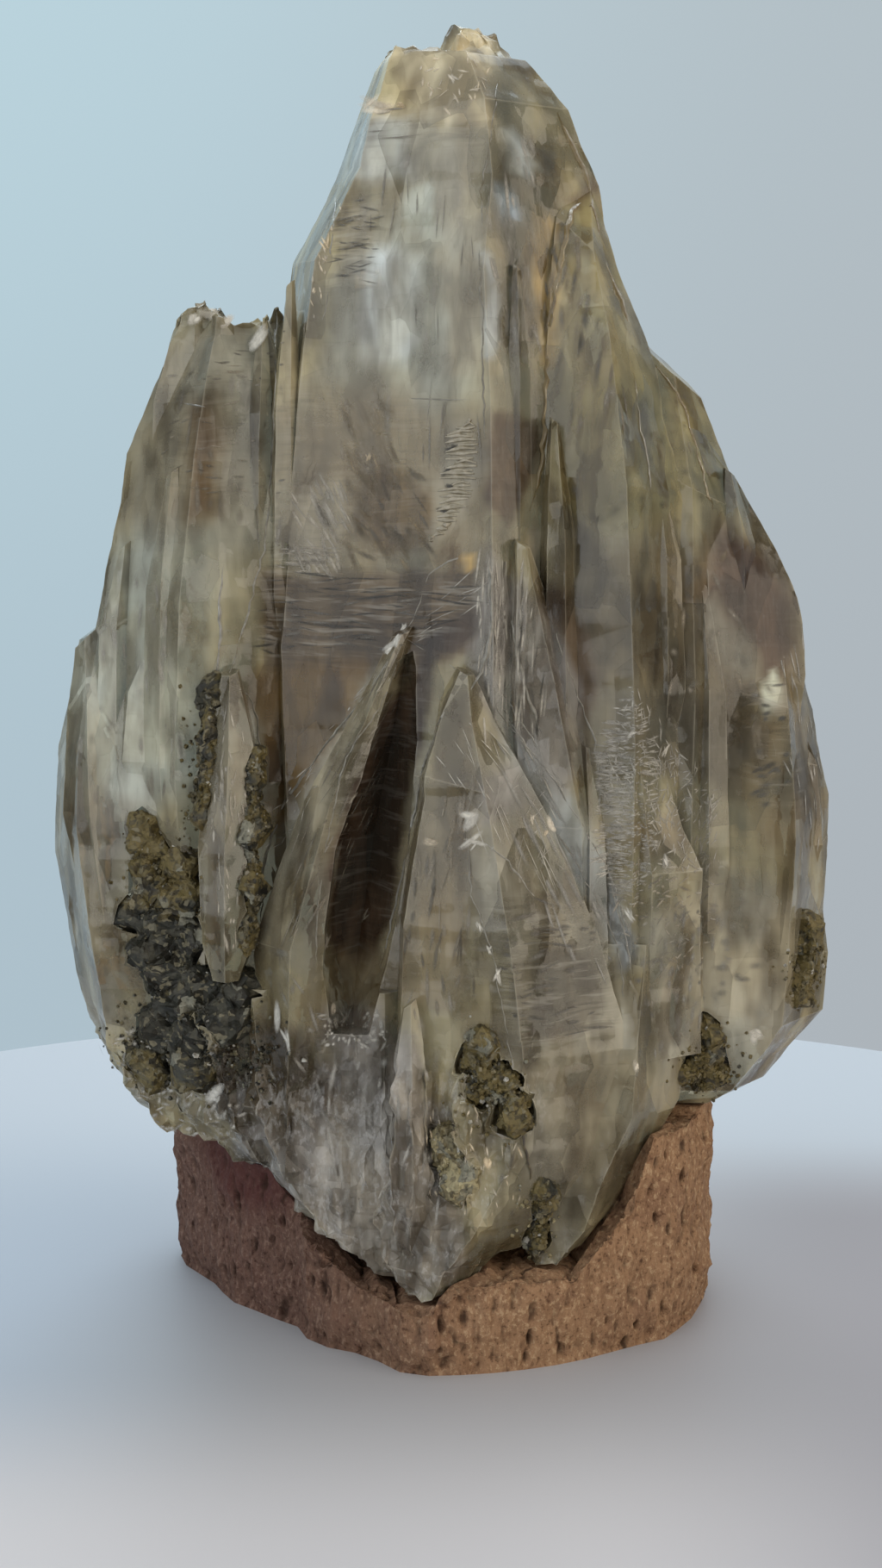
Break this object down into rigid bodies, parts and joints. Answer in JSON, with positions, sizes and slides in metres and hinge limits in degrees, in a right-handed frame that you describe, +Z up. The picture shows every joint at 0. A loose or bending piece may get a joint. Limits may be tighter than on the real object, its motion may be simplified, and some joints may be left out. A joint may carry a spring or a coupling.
{
  "type": "quartz with mica",
  "caption": "Smoky clear quartz crystal cluster, spearhead in outline, with dark mica grown in it, standing in a carved cork block.",
  "frame": {"origin": "centre of the stand's flat underside, under the crystals' axis", "axes": "+Z up along the crystals, +X to the right seen from the front, the front faces -Y"},
  "size_m": [0.0666, 0.0436, 0.1085],
  "materials": {
    "quartz": "clear to smoky, growth lines and frosted patches",
    "cork": "rough cut cork with pores",
    "mica": "flaky, dark green-grey to ochre, with small glints"
  },
  "bodies": {
    "root": {"quartz_cluster": "quartz", "cork_stand": "cork", "mica_mass_left": "mica", "mica_seam_left": "mica", "mica_seam_right": "mica", "mica_nodule_right": "mica", "mica_pocket_right": "mica", "mica_pocket_front": "mica", "mica_specks_front": "mica", "mica_vein_foot": "mica"}
  },
  "joints": []
}
